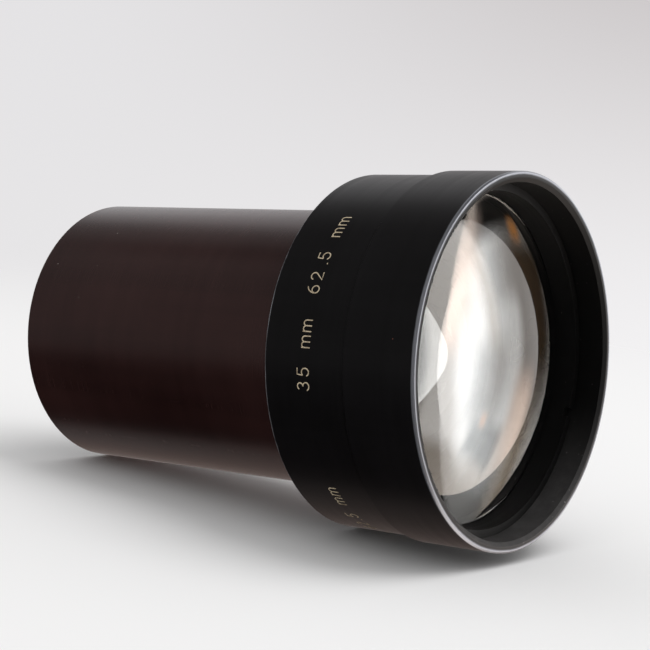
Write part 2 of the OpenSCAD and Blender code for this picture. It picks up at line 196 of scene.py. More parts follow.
def newGroup(name, inputs, outputs):      # an input without a number is a vector
    tree = bpy.data.node_groups.new(name, "ShaderNodeTree")
    for label, value in inputs.items():
        kind = "NodeSocketVector" if value is None else "NodeSocketFloat"
        socket = tree.interface.new_socket(name=label, in_out="INPUT", socket_type=kind)
        if value is not None:
            socket.default_value = value
    for label in outputs:
        tree.interface.new_socket(name=label, in_out="OUTPUT", socket_type="NodeSocketFloat")
    return tree, tree.nodes.new("NodeGroupInput").outputs, tree.nodes.new("NodeGroupOutput").inputs


def place(tree, group, coordinates, **values):   # a group in a material, with its own values
    node = tree.nodes.new("ShaderNodeGroup")
    node.node_tree = group
    tree.links.new(coordinates, node.inputs["Coordinates"])
    for label, value in values.items():
        feed(tree, node.inputs[label.replace("_", " ")], value)
    return node.outputs


# effects that several finishes share, each with the values that shape its pattern

noiseMean = 0.5

latheLines = {
    "detail": 3, "roughness": 0.6,
    "fineShare": 0.7,            # the rest of the tone comes from broader lines
    "broadness": 0.13,           # fineness of the broader lines against the fine ones
    "toneFrom": 0.36, "toneTo": 0.64,
}


def makeTurnedLines(values):
    # fine lines left by the lathe tool, round the optical axis on cylinders and faces alike
    tree, given, out = newGroup(
        "turnedLines", {"Coordinates": None, "Fineness": 9000, "Drift": 12}, ["Height", "Tone"],
    )
    x, y, z = apart(tree, given["Coordinates"])
    driftX = times(tree, x, given["Drift"])
    driftZ = times(tree, z, given["Drift"])
    across = times(tree, plus(tree, y, diagonal(tree, x, z)), given["Fineness"])
    fine = noise(tree, together(tree, driftX, across, driftZ), 1, values["detail"], values["roughness"])
    broad = noise(tree, together(tree, driftX, times(tree, across, values["broadness"]), driftZ), 1)
    tree.links.new(fine, out["Height"])
    both = plus(tree, times(tree, fine, values["fineShare"]), times(tree, broad, 1 - values["fineShare"]))
    tree.links.new(smoothStep(tree, both, values["toneFrom"], values["toneTo"]), out["Tone"])
    return tree


rubbedPatches = {
    "scale": 140, "detail": 4, "roughness": 0.65,
    "from": 0.38, "to": 0.62,
    "bareShare": 0.35,           # share of the width where all the finish is gone
}


def makeEdgeWear(values):
    # finish rubbed off along one turned edge, given by its radius and its place on the axis
    tree, given, out = newGroup(
        "edgeWear",
        {"Coordinates": None, "Edge radius": 0.04, "Edge place": 0, "Width": 0.0004, "Patchiness": 0.5},
        ["Wear"],
    )
    x, y, z = apart(tree, given["Coordinates"])
    outward = minus(tree, diagonal(tree, x, z), given["Edge radius"])
    along = minus(tree, y, given["Edge place"])
    away = diagonal(tree, outward, along)
    cloud = noise(tree, given["Coordinates"], values["scale"], values["detail"], values["roughness"])
    patches = smoothStep(tree, cloud, values["from"], values["to"])
    narrowed = between(tree, patches, minus(tree, 1, given["Patchiness"]), 1)
    reach = times(tree, given["Width"], narrowed)
    near = smoothStep(tree, away, reach, times(tree, reach, values["bareShare"]))
    tree.links.new(near, out["Wear"])
    return tree


grainShape = {
    "smallest": 0.4,             # the smallest grain against the largest
    "core": 0.5,                 # share of a grain that is not blurred
}


def makeDustSpecks(values):
    # single grains, one at most in each cell
    tree, given, out = newGroup(
        "dustSpecks", {"Coordinates": None, "Cells": 900, "Grain size": 0.12, "Share": 0.06}, ["Specks"],
    )
    cells = tree.nodes.new("ShaderNodeTexVoronoi")
    tree.links.new(given["Coordinates"], cells.inputs["Vector"])
    tree.links.new(given["Cells"], cells.inputs["Scale"])
    chance, size = apart(tree, cells.outputs["Color"])[:2]
    grain = times(tree, given["Grain size"], between(tree, size, values["smallest"], 1))
    spot = smoothStep(tree, cells.outputs["Distance"], grain, times(tree, grain, values["core"]))
    kept = sums(tree, "LESS_THAN", chance, given["Share"])
    tree.links.new(times(tree, spot, kept), out["Specks"])
    return tree


fadedDye = {
    "drawnOut": 0.5,             # how much slower the tone changes round the axis
    "detail": 5, "roughness": 0.55,
}


def makeFadedTone(values):
    # slow uneven fading of the dye, drawn out round the axis
    tree, given, out = newGroup("fadedTone", {"Coordinates": None, "Scale": 30, "Contrast": 0.2}, ["Tone"])
    x, y, z = apart(tree, given["Coordinates"])
    stretched = together(tree, times(tree, x, values["drawnOut"]), y, times(tree, z, values["drawnOut"]))
    slow = noise(tree, stretched, given["Scale"], values["detail"], values["roughness"])
    low = minus(tree, noiseMean, given["Contrast"])
    high = plus(tree, noiseMean, given["Contrast"])
    tree.links.new(smoothStep(tree, slow, low, high), out["Tone"])
    return tree


wipedStreaks = {
    "detail": 4, "roughness": 0.6,
    "from": 0.36, "to": 0.64,
}


def makeHandledStreaks(values):
    # streaks along the axis, where the finish has been handled and wiped
    tree, given, out = newGroup("handledStreaks", {"Coordinates": None, "Across": 260, "Along": 5}, ["Tone"])
    x, y, z = apart(tree, given["Coordinates"])
    across = given["Across"]
    drawn = together(tree, times(tree, x, across), times(tree, y, given["Along"]), times(tree, z, across))
    streaks = noise(tree, drawn, 1, values["detail"], values["roughness"])
    tree.links.new(smoothStep(tree, streaks, values["from"], values["to"]), out["Tone"])
    return tree


# a cloud in the lower part of a bore, partly settled dust and partly painted light from above
boreDustAndLight = {
    "scale": 300, "detail": 5, "roughness": 0.7,
    "thinnest": 0.2,             # dust and painted light between the clouds against inside them
}


def makeBoreMask(values):
    # the inside of a bore, and a lighter lower part of it: settled dust and painted light from above
    tree, given, out = newGroup(
        "boreMask",
        {"Coordinates": None, "Bore radius": 0.038, "Dust from": -0.01, "Dust full": -0.036},
        ["Inside", "Dust and painted light"],
    )
    x, y, z = apart(tree, given["Coordinates"])
    tree.links.new(sums(tree, "LESS_THAN", diagonal(tree, x, z), given["Bore radius"]), out["Inside"])
    cloud = noise(tree, given["Coordinates"], values["scale"], values["detail"], values["roughness"])
    # lighter towards the bottom of the bore: settled dust and painted light from above
    low = smoothStep(tree, z, given["Dust from"], given["Dust full"])
    tree.links.new(times(tree, low, between(tree, cloud, values["thinnest"], 1)), out["Dust and painted light"])
    return tree


turnedLines = makeTurnedLines(latheLines)
edgeWear = makeEdgeWear(rubbedPatches)
dustSpecks = makeDustSpecks(grainShape)
fadedTone = makeFadedTone(fadedDye)
handledStreaks = makeHandledStreaks(wipedStreaks)
boreMask = makeBoreMask(boreDustAndLight)
print("shared effects made")


# finishes

def newFinish(name, **fixed):
    material = bpy.data.materials.new(name)
    material.use_nodes = True
    tree = material.node_tree
    shader = tree.nodes["Principled BSDF"]
    for label, value in fixed.items():
        shader.inputs[label.replace("_", " ")].default_value = value
    coordinates = tree.nodes.new("ShaderNodeTexCoord").outputs["Object"]
    return material, tree, shader, coordinates


def roughen(tree, shader, height, strength, distance):
    bump = tree.nodes.new("ShaderNodeBump")
    bump.inputs["Strength"].default_value = strength
    bump.inputs["Distance"].default_value = distance
    tree.links.new(height, bump.inputs["Height"])
    tree.links.new(bump.outputs["Normal"], shader.inputs["Normal"])


def scattered(tree, coordinates, cells, size, share):   # a mask of dust specks
    return place(tree, dustSpecks, coordinates, Cells=cells, Grain_size=size, Share=share)["Specks"]


def wornEdges(tree, coordinates, edges):   # the strongest wear of several edges
    worn = None
    for radius, along, width, patchiness in edges:
        wear = place(
            tree, edgeWear, coordinates,
            Edge_radius=radius, Edge_place=along, Width=width, Patchiness=patchiness,
        )["Wear"]
        worn = wear if worn is None else sums(tree, "MAXIMUM", worn, wear)
    return worn


def mattBore(tree, coordinates, lineTone, colour, rough, bore):
    # inside the bore: darker and duller, the darker colour partly painted shade, with single grains of dust
    # and a lighter lower part that is settled dust and painted light from above
    masks = place(
        tree, boreMask, coordinates,
        Bore_radius=bore["radius"], Dust_from=bore["dustAndLightFrom"], Dust_full=bore["dustAndLightFull"],
    )
    # deeper black inside the bore: a matt finish, and partly painted shade in the recess
    matt = mixColour(tree, lineTone, bore["deep"], bore["faded"])
    # the lower part of the bore is lightened with the dust colour: settled dust and painted light from above
    matt = mixColour(tree, times(tree, masks["Dust and painted light"], bore["dustAndLightStrength"]), matt, bore["dust"])
    grains = scattered(tree, coordinates, bore["grainCells"], bore["grainSize"], bore["grainShare"])
    grains = times(tree, grains, between(tree, masks["Dust and painted light"], bore["fewestGrains"], 1))
    matt = mixColour(tree, grains, matt, bore["dust"])
    colour = mixColour(tree, masks["Inside"], colour, matt)
    rough = sums(tree, "MAXIMUM", rough, times(tree, masks["Inside"], bore["roughness"]))
    return colour, rough


def anodised(name, values):
    # dyed anodised aluminium: dark dye, turned lines, fading, streaks, dust and edges worn bare
    material, tree, shader, coordinates = newFinish(
        name, Metallic=0, Specular_IOR_Level=values["shine"], Specular_Tint=(*values["glossTint"], 1),
    )
    lines = place(tree, turnedLines, coordinates, Fineness=values["fineness"], Drift=values["drift"])
    fading = place(
        tree, fadedTone, coordinates, Scale=values["fadeScale"], Contrast=values["fadeContrast"],
    )["Tone"]
    streaks = place(
        tree, handledStreaks, coordinates, Across=values["streaksAcross"], Along=values["streaksAlong"],
    )["Tone"]
    lineShare = values["lineShare"]
    tone = plus(tree, times(tree, fading, 1 - lineShare), times(tree, lines["Tone"], lineShare))
    tone = plus(tree, tone, times(tree, minus(tree, streaks, noiseMean), values["streakStrength"]))
    colour = mixColour(tree, tone, values["deep"], values["faded"])
    specks = scattered(tree, coordinates, values["dustCells"], values["dustSize"], values["dustShare"])
    colour = mixColour(tree, specks, colour, values["dust"])
    worn = wornEdges(tree, coordinates, values["edges"])
    if worn is not None:
        colour = mixColour(tree, worn, colour, values["bare"])
        tree.links.new(times(tree, worn, values["bareMetal"]), shader.inputs["Metallic"])
    rough = between(tree, lines["Tone"], values["smoothest"], values["roughest"])
    rough = plus(tree, rough, times(tree, specks, values["dustRoughness"]))
    rough = minus(tree, rough, times(tree, streaks, values["streakGloss"]), clamp=True)
    if "bore" in values:
        colour, rough = mattBore(tree, coordinates, lines["Tone"], colour, rough, values["bore"])
    tree.links.new(colour, shader.inputs["Base Color"])
    tree.links.new(rough, shader.inputs["Roughness"])
    roughen(tree, shader, lines["Height"], values["lineStrength"], values["lineDepth"])
    return material


boreGrains = {"grainCells": 800, "grainSize": 0.2, "fewestGrains": 0.15}

# an edge is its radius, its place on the axis, the width of the wear and how patchy it is
barrelAnodise = {
    "deep": (0.0085, 0.0028, 0.0026), "faded": (0.030, 0.0118, 0.0108),
    "fadeScale": 26, "fadeContrast": 0.3,
    "shine": 0.5, "glossTint": (1, 0.76, 0.74), "smoothest": 0.25, "roughest": 0.28,
    "fineness": 2200, "drift": 3, "lineShare": 0.2, "lineStrength": 0.2, "lineDepth": 0.02 * mm,
    "streaksAcross": 120, "streaksAlong": 4, "streakStrength": 0.16, "streakGloss": 0.025,
    "dust": (0.30, 0.27, 0.24), "dustRoughness": 0.3,
    "dustCells": 300, "dustSize": 0.08, "dustShare": 0.05,
    "bare": (0.30, 0.27, 0.25), "bareMetal": 0.7,
    "edges": [
        (barrelRadius, barrelEnd - barrelChamfer, 0.3 * mm, 0.85),
        (barrelRadius - barrelChamfer, barrelEnd, 0.3 * mm, 0.7),
    ],
    "bore": {
        **boreGrains, "grainShare": 0.06,
        "radius": barrelRadius - 1.9 * mm, "roughness": 0.6,
        # the deep and faded colours inside the bore are partly painted shade
        "deep": (0.0016, 0.0015, 0.0015), "faded": (0.0045, 0.0042, 0.0040),
        # the dust colour and its strength here also paint light from above onto the lower part of the bore
        "dust": (0.16, 0.15, 0.145), "dustAndLightFrom": -6 * mm, "dustAndLightFull": -30 * mm, "dustAndLightStrength": 0.08,
    },
}

headAnodise = {
    "deep": (0.0026, 0.0024, 0.0027), "faded": (0.0060, 0.0055, 0.0062),
    "fadeScale": 40, "fadeContrast": 0.25,
    "shine": 0.16, "glossTint": (1, 1, 1), "smoothest": 0.30, "roughest": 0.38,
    "fineness": 6500, "drift": 6, "lineShare": 0.25, "lineStrength": 0.2, "lineDepth": 0.012 * mm,
    "streaksAcross": 300, "streaksAlong": 15, "streakStrength": 0.15, "streakGloss": 0.02,
    "dust": (0.16, 0.055, 0.035), "dustRoughness": 0.3,
    "dustCells": 300, "dustSize": 0.08, "dustShare": 0.03,
    "bare": (0.42, 0.435, 0.47), "bareMetal": 0.8,
    "edges": [
        (headRadius - 0.1 * mm, -0.3 * mm, 0.30 * mm, 0.35),
        (headRadius - headChamfer, 0, 0.20 * mm, 0.5),
    ],
}

hoodAnodise = {
    **headAnodise,
    "bare": (0.27, 0.28, 0.31),
    "edges": [
        (hoodRadius - 0.2 * mm, rimPlace + 0.1 * mm, 0.75 * mm, 0.12),
        (hoodRadius - hoodWall, rimPlace + hoodChamferDepth, 0.10 * mm, 0.9),
    ],
    "bore": {
        **boreGrains, "grainShare": 0.2,
        "radius": hoodRadius - 1.2 * mm, "roughness": 0.55,
        # the deep and faded colours inside the bore are partly painted shade
        "deep": (0.0012, 0.0012, 0.0012), "faded": (0.0035, 0.0033, 0.0032),
        # the dust colour and its strength here also paint light from above onto the lower part of the bore
        "dust": (0.23, 0.22, 0.22), "dustAndLightFrom": -8 * mm, "dustAndLightFull": -38 * mm, "dustAndLightStrength": 0.28,
    },
}

ringAnodise = {
    **headAnodise,
    "deep": (0.0016, 0.0016, 0.0016), "faded": (0.0045, 0.0044, 0.0043),
    "shine": 0.18, "smoothest": 0.45, "roughest": 0.6, "fineness": 9000,
    "dust": (0.12, 0.11, 0.10), "dustCells": 900, "dustSize": 0.12, "dustShare": 0.05,
    "edges": [],
}

innerBlack = {
    **ringAnodise,
    "deep": (0.003, 0.003, 0.003), "faded": (0.006, 0.006, 0.006),
    "shine": 0.2, "smoothest": 0.6, "roughest": 0.8,
}

cellAnodise = {
    **ringAnodise,
    "deep": (0.004, 0.004, 0.004), "faded": (0.009, 0.009, 0.009),
    "smoothest": 0.4, "roughest": 0.55,
}


def bareMetal(name, values):
    # bright turned or rolled metal with a little tarnish
    material, tree, shader, coordinates = newFinish(name, Metallic=1)
    lines = place(tree, turnedLines, coordinates, Fineness=values["fineness"], Drift=values["drift"])
    tarnish = place(
        tree, fadedTone, coordinates, Scale=values["tarnishScale"], Contrast=values["tarnishContrast"],
    )["Tone"]
    colour = mixColour(tree, tarnish, values["bright"], values["tarnished"])
    rough = between(tree, lines["Tone"], values["smoothest"], values["roughest"])
    tree.links.new(colour, shader.inputs["Base Color"])
    tree.links.new(rough, shader.inputs["Roughness"])
    roughen(tree, shader, lines["Height"], values["lineStrength"], values["lineDepth"])
    return material


brassShim = {
    "bright": (0.74, 0.54, 0.24), "tarnished": (0.45, 0.30, 0.13),
    "tarnishScale": 300, "tarnishContrast": 0.2,
    "smoothest": 0.25, "roughest": 0.45,
    "fineness": 5000, "drift": 30, "lineStrength": 0.2, "lineDepth": 0.01 * mm,
}

steelScrew = {
    **brassShim,
    "bright": (0.56, 0.56, 0.56), "tarnished": (0.38, 0.37, 0.36), "tarnishScale": 700,
    "roughest": 0.4, "fineness": 9000, "drift": 200,
}

blackScrew = {
    **steelScrew,
    "bright": (0.06, 0.06, 0.06), "tarnished": (0.025, 0.024, 0.024),
    "smoothest": 0.35, "roughest": 0.5,
}

finishes = {
    "barrel_anodised": anodised("barrelAnodised", barrelAnodise),
    "head_black": anodised("headBlack", headAnodise),
    "hood_black": anodised("hoodBlack", hoodAnodise),
    "ring_matt_black": anodised("ringBlack", ringAnodise),
    "inner_matt_black": anodised("innerBlack", innerBlack),
    "cell_black": anodised("cellBlack", cellAnodise),
    "shim_brass": bareMetal("shimBrass", brassShim),
    "screw_steel": bareMetal("screwSteel", steelScrew),
    "screw_black": bareMetal("screwBlack", blackScrew),
}

slotOfNode = {part["node"]: part["material_slot"] for part in frame["record"]["subparts"]}
for name, piece in frame["nodes"].items():
    if slotOfNode[name] in finishes:
        piece.data.materials.clear()
        piece.data.materials.append(finishes[slotOfNode[name]])
print("finishes made:", len(finishes))


# glass and paint

def opticalGlass(name, values):
    # polished glass with one coating, dulled only where dust lies
    material, tree, shader, coordinates = newFinish(
        name, Base_Color=(*values["tint"], 1), Metallic=0, Transmission_Weight=1, IOR=values["index"],
        Specular_Tint=(*values["coating"], 1),
    )
    specks = scattered(tree, coordinates, values["dustCells"], values["dustSize"], values["dustShare"])
    tree.links.new(times(tree, specks, values["dustRoughness"]), shader.inputs["Roughness"])
    return material


def mattPaint(name, values):
    # thick paint, uneven in tone, sheen and height
    material, tree, shader, coordinates = newFinish(name, Specular_IOR_Level=values["shine"])
    tone = noise(tree, coordinates, values["scale"], values["detail"], values["roughness"])
    if "patches" in values:
        tone = smoothStep(tree, tone, *values["patches"])
    tree.links.new(mixColour(tree, tone, values["clean"], values["dirty"]), shader.inputs["Base Color"])
    tree.links.new(between(tree, tone, values["smoothest"], values["roughest"]), shader.inputs["Roughness"])
    roughen(tree, shader, tone, values["strength"], values["depth"])
    return material


edgeBlack = {   # on the ground edges of the glasses
    "clean": (0.003, 0.003, 0.003), "dirty": (0.009, 0.009, 0.009),
    "scale": 1400, "detail": 3, "roughness": 0.6,
    "shine": 0.2, "smoothest": 0.55, "roughest": 0.8,
    "strength": 0.3, "depth": 0.03 * mm,
}

figureCream = {   # wiped into the engraved figures, greyer where dirt has settled
    "clean": (0.56, 0.47, 0.33), "dirty": (0.30, 0.23, 0.15),
    "scale": 900, "detail": 4, "roughness": 0.6, "patches": (0.4, 0.7),
    "shine": 0.25, "smoothest": 0.5, "roughest": 0.75,
    "strength": 0.2, "depth": 0.02 * mm,
}

crownLooks = {
    "tint": (0.985, 0.99, 0.98), "coating": (0.70, 0.68, 0.64), "index": 1.744,
    "dustCells": 420, "dustSize": 0.09, "dustShare": 0.05, "dustRoughness": 0.5,
}

fusedLooks = {   # a cemented pair seen as one glass
    **crownLooks,
    "tint": (0.985, 0.985, 0.96), "index": 1.717,
}

crownGlass = opticalGlass("crownGlass", crownLooks)
flintGlass = opticalGlass("fusedDoubletGlass", fusedLooks)
edgePaint = mattPaint("edgePaint", edgeBlack)
figurePaint = mattPaint("letterPaint", figureCream)


# glasses, turned about the optical axis from their real surfaces

onAxis = 1e-7                     # a radius smaller than this is a point on the axis
sharpFrom = math.radians(20)      # edges that turn more than this stay sharp


def sag(radius, height):   # how far a spherical surface falls back at a height above the axis
    return radius - math.copysign(math.sqrt(radius * radius - height * height), radius)


def heightAt(radius, depth):   # height above the axis where a hollow of that depth has its edge
    return math.sqrt(radius * radius - (radius - depth) ** 2)


def surface(radius, vertex, fromHeight, toHeight, steps=44):
    heights = [fromHeight + (toHeight - fromHeight) * i / steps for i in range(steps + 1)]
    return [(height, vertex + sag(radius, height)) for height in heights]


def joined(*stretches):
    # joins stretches of profile, and lists which of its edges are painted because they are not polished
    profile, painted = [], []
    for kind, points in stretches:
        start = len(profile)
        profile.extend(points)
        if start:
            painted.append(start - 1)
        if kind == "ground":
            painted.extend(range(start, len(profile) - 1))
    return profile, painted


def turnGlass(name, profile, polished, painted, turns=288):
    # turns a profile that runs from the axis over the rim and back to the axis
    angles = [2 * math.pi * i / turns for i in range(turns)]
    mesh = bmesh.new()
    rings = []
    for radius, along in profile:
        if radius < onAxis:
            rings.append([mesh.verts.new((0, along, 0))])
        else:
            circle = [(radius * math.cos(a), along, radius * math.sin(a)) for a in angles]
            rings.append([mesh.verts.new(spot) for spot in circle])
    for index, (first, second) in enumerate(zip(rings, rings[1:])):
        for i in range(turns):
            j = (i + 1) % turns
            corners = (
                first[i % len(first)], second[i % len(second)],
                second[j % len(second)], first[j % len(first)],
            )
            face = mesh.faces.new(list(dict.fromkeys(corners)))
            face.material_index = 1 if index in painted else 0
            face.smooth = True
    bmesh.ops.recalc_face_normals(mesh, faces=mesh.faces)
    data = bpy.data.meshes.new(name)
    mesh.to_mesh(data)
    mesh.free()
    data.materials.append(polished)
    data.materials.append(edgePaint)
    data.set_sharp_from_angle(angle=sharpFrom)
    piece = bpy.data.objects.new(name, data)
    scene.collection.objects.link(piece)
    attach(piece, "root")
    return piece


glassTrain = {   # radii of the polished surfaces, and the depth of each hollow at its edge
    "frontGlass": {"front": 72 * mm, "back": 168 * mm, "thickness": 12.5 * mm, "clear": 34.4 * mm},
    "frontDoublet": {"front": 40 * mm, "bowl": 24 * mm, "hollow": 11.2 * mm},
    "rearDoublet": {"bowl": 29.5 * mm, "hollow": 6.5 * mm, "back": 40 * mm},
    "rearGlass": {"front": 122 * mm, "back": 177 * mm},
    "bevel": 0.25 * mm,           # ground bevel on the rim of each glass
}


def makeFrontGlass(values, bevel):
    low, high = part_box("front_element")
    edge = high.x
    rim = [
        (edge, low.y + sag(values["front"], edge - bevel) + bevel),
        (edge, high.y - bevel),
        (edge - bevel, high.y),
    ]
    profile, painted = joined(
        ("polished", surface(values["front"], low.y, 0, edge - bevel)),
        ("ground", rim),
        ("polished", surface(values["back"], low.y + values["thickness"], values["clear"], 0)),
    )
    piece = turnGlass("front_glass", profile, crownGlass, painted)
    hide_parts("front_element")


def makeFrontDoublet(values, bevel):
    crownLow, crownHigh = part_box("front_doublet_crown")
    flintLow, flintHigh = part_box("front_doublet_flint")
    bowlVertex = flintHigh.y - values["hollow"]
    bowlEdge = heightAt(values["bowl"], values["hollow"])
    rim = [
        (crownHigh.x, flintLow.y - bevel),
        (crownHigh.x - bevel, flintLow.y),
        (flintHigh.x, flintLow.y),
        (flintHigh.x, flintHigh.y - bevel),
        (flintHigh.x - bevel, flintHigh.y),
    ]
    profile, painted = joined(
        ("polished", surface(values["front"], crownLow.y, 0, crownHigh.x)),
        ("ground", rim),
        ("polished", surface(values["bowl"], bowlVertex, bowlEdge, 0)),
    )
    piece = turnGlass("front_doublet", profile, flintGlass, painted)
    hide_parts("front_doublet_crown", "front_doublet_flint")


def makeRearDoublet(values, bevel):
    flintLow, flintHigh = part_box("rear_doublet_flint")
    crownLow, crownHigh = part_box("rear_doublet_crown")
    bowlEdge = heightAt(values["bowl"], values["hollow"])
    rim = [
        (flintHigh.x - bevel, flintLow.y),
        (flintHigh.x, flintLow.y + bevel),
        (flintHigh.x, crownLow.y),
        (crownHigh.x - bevel, crownLow.y),
        (crownHigh.x, crownLow.y + bevel),
    ]
    profile, painted = joined(
        ("polished", surface(-values["bowl"], flintLow.y + values["hollow"], 0, bowlEdge)),
        ("ground", rim),
        ("polished", surface(-values["back"], crownHigh.y, crownHigh.x, 0)),
    )
    piece = turnGlass("rear_doublet", profile, crownGlass, painted)
    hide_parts("rear_doublet_flint", "rear_doublet_crown")


def makeRearGlass(values, bevel):
    low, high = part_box("rear_element")
    edge = high.x
    rim = [
        (edge, low.y + sag(values["front"], edge - bevel) + bevel),
        (edge, high.y - sag(values["back"], edge - bevel) - bevel),
    ]
    profile, painted = joined(
        ("polished", surface(values["front"], low.y, 0, edge - bevel)),
        ("ground", rim),
        ("polished", surface(-values["back"], high.y, edge - bevel, 0)),
    )
    piece = turnGlass("rear_glass", profile, crownGlass, painted)
    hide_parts("rear_element")


makeFrontGlass(glassTrain["frontGlass"], glassTrain["bevel"])
makeFrontDoublet(glassTrain["frontDoublet"], glassTrain["bevel"])
makeRearDoublet(glassTrain["rearDoublet"], glassTrain["bevel"])
makeRearGlass(glassTrain["rearGlass"], glassTrain["bevel"])
print("glasses made")


# engraved figures on the head, single strokes filled with cream paint

engraving = {
    "words": ["35 mm", "62.5 mm"],
    "height": 2.9 * mm,
    "stroke": 0.24 * mm,
    "proud": 0.02 * mm,
    "fromSeam": 8.8 * mm,        # from the seam to the foot of the figures
    "pitch": 2.92 * mm,
    "firstAngle": 190,           # degrees round the axis, +X to +Z, where the first line starts
    "advances": {".": 0.62, "m": 1.12},      # pitches that a figure takes, where that isn't 1
    "gap": 1.6,                  # pitches between the two words
    "lines": [0, 91],            # degrees from the first line to each line
    "capSteps": 6,               # steps round the end of a stroke
}


def bend(x, y, width, height, start, end, steps=14):
    angles = [math.radians(start + (end - start) * i / steps) for i in range(steps + 1)]
    return [(x + width * math.cos(a), y + height * math.sin(a)) for a in angles]


# strokes of each figure in a box 0.6 wide and 1 high
figures = {
    "2": [bend(0.3, 0.72, 0.26, 0.28, 165, -32) + [(0.03, 0), (0.58, 0)]],
    "3": [bend(0.29, 0.76, 0.23, 0.24, 150, -90) + bend(0.29, 0.26, 0.28, 0.26, 90, -155)],
    "5": [[(0.53, 1), (0.12, 1), (0.07, 0.53)] + bend(0.29, 0.31, 0.28, 0.31, 132, -150)],
    "6": [bend(0.55, 0.3, 0.52, 0.7, 100, 180), bend(0.3, 0.3, 0.27, 0.3, 0, 360, 22)],
    "m": [
        [(0, 0), (0, 0.68)],
        bend(0.2, 0.44, 0.2, 0.24, 180, 0) + [(0.4, 0)],
        bend(0.6, 0.44, 0.2, 0.24, 180, 0) + [(0.8, 0)],
    ],
    ".": [[(0.28, 0), (0.32, 0)]],
}


def heading(start, end):
    return math.atan2(end[1] - start[1], end[0] - start[0])


def drawStroke(mesh, points, half, capSteps, onHead):
    # one flat stroke of even width with round ends
    last = len(points) - 1
    headings = [heading(points[max(i - 1, 0)], points[min(i + 1, last)]) for i in range(last + 1)]
    left, right = (
        [
            mesh.verts.new(onHead(u - side * math.sin(a), v + side * math.cos(a)))
            for (u, v), a in zip(points, headings)
        ]
        for side in (half, -half)
    )
    for i in range(last):
        mesh.faces.new((left[i], right[i], right[i + 1], left[i + 1]))
    for (u, v), inner, start, end in (
        (points[0], points[1], left[0], right[0]),
        (points[-1], points[-2], right[-1], left[-1]),
    ):
        away = heading(inner, (u, v))
        cap = []
        for k in range(1, capSteps):
            a = away + math.pi * (0.5 - k / capSteps)
            cap.append(mesh.verts.new(onHead(u + half * math.cos(a), v + half * math.sin(a))))
        mesh.faces.new((end, *cap, start))


def engraveFigures(values):
    mesh = bmesh.new()
    radius = headRadius + values["proud"]
    foot = seamPlace + values["fromSeam"]
    size = values["height"]
    pitch = values["pitch"]
    for extra in values["lines"]:
        lineStart = math.radians(values["firstAngle"] + extra)

        def onHead(u, v):   # u along the line of writing, v towards the barrel
            turn = lineStart - u / headRadius
            return (radius * math.cos(turn), foot + v, radius * math.sin(turn))

        cursor = 0
        for word in values["words"]:
            for figure in word:
                for stroke in figures.get(figure, []):
                    points = [(cursor + x * size, y * size) for x, y in stroke]
                    drawStroke(mesh, points, values["stroke"] / 2, values["capSteps"], onHead)
                cursor += pitch * values["advances"].get(figure, 1)
            cursor += pitch * values["gap"]
    bmesh.ops.recalc_face_normals(mesh, faces=mesh.faces)
    data = bpy.data.meshes.new("head_figures")
    mesh.to_mesh(data)
    mesh.free()
    data.materials.append(figurePaint)
    piece = bpy.data.objects.new("head_figures", data)
    scene.collection.objects.link(piece)
    thick = piece.modifiers.new("thickness", "SOLIDIFY")
    thick.thickness = values["proud"] * 2
    thick.offset = 0
    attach(piece, "root")


engraveFigures(engraving)
print("figures engraved")


# floor: it carries the lens at the head's rear edge and the barrel's rear rim

stage = {
    "reach": 3.0,
    "colour": (0.88, 0.875, 0.875),
    "fadeFrom": 0.22,            # the floor dissolves into the backdrop between these distances
    "fadeTo": 0.75,
    "gap": 0.05 * mm,
}


def makeFloor(values):
    restBack = Vector((0, barrelEnd - barrelChamfer, -barrelRadius - values["gap"]))
    restFront = Vector((0, -headChamfer, -headRadius - values["gap"]))
    slope = (restBack - restFront).normalized() * values["reach"]
    side = Vector((1, 0, 0)) * values["reach"]
    corners = [restFront + side * a + slope * b for a, b in ((-1, -1), (1, -1), (1, 1), (-1, 1))]
    data = bpy.data.meshes.new("floor")
    data.from_pydata(corners, [], [(0, 1, 2, 3)])
    floor = bpy.data.objects.new("floor", data)
    scene.collection.objects.link(floor)
    floor.visible_glossy = False
    floor.visible_transmission = False
    material, tree, shader, coordinates = newFinish(
        "floorPaper", Base_Color=(*values["colour"], 1), Roughness=1, Specular_IOR_Level=0,
    )
    distance = tree.nodes.new("ShaderNodeVectorMath")
    distance.operation = "LENGTH"
    tree.links.new(coordinates, distance.inputs[0])
    fade = smoothStep(tree, distance.outputs["Value"], values["fadeTo"], values["fadeFrom"])
    tree.links.new(fade, shader.inputs["Alpha"])
    data.materials.append(material)


makeFloor(stage)


# backdrop and light

backdrop = {
    "left": (0.80, 0.79, 0.80), "right": (0.90, 0.89, 0.90),
    "leftTop": (0.77, 0.76, 0.775), "rightTop": (0.54, 0.51, 0.515),
    "leftFrom": 48, "rightFrom": 24,         # degrees round Z from +X
    "topFrom": -4, "topFull": 15,            # degrees above the horizon
    "ambientUp": 0.8, "ambientDown": 0.42,
    "ambientFrom": -0.6, "ambientTo": 0.8,   # upward part of the direction
}

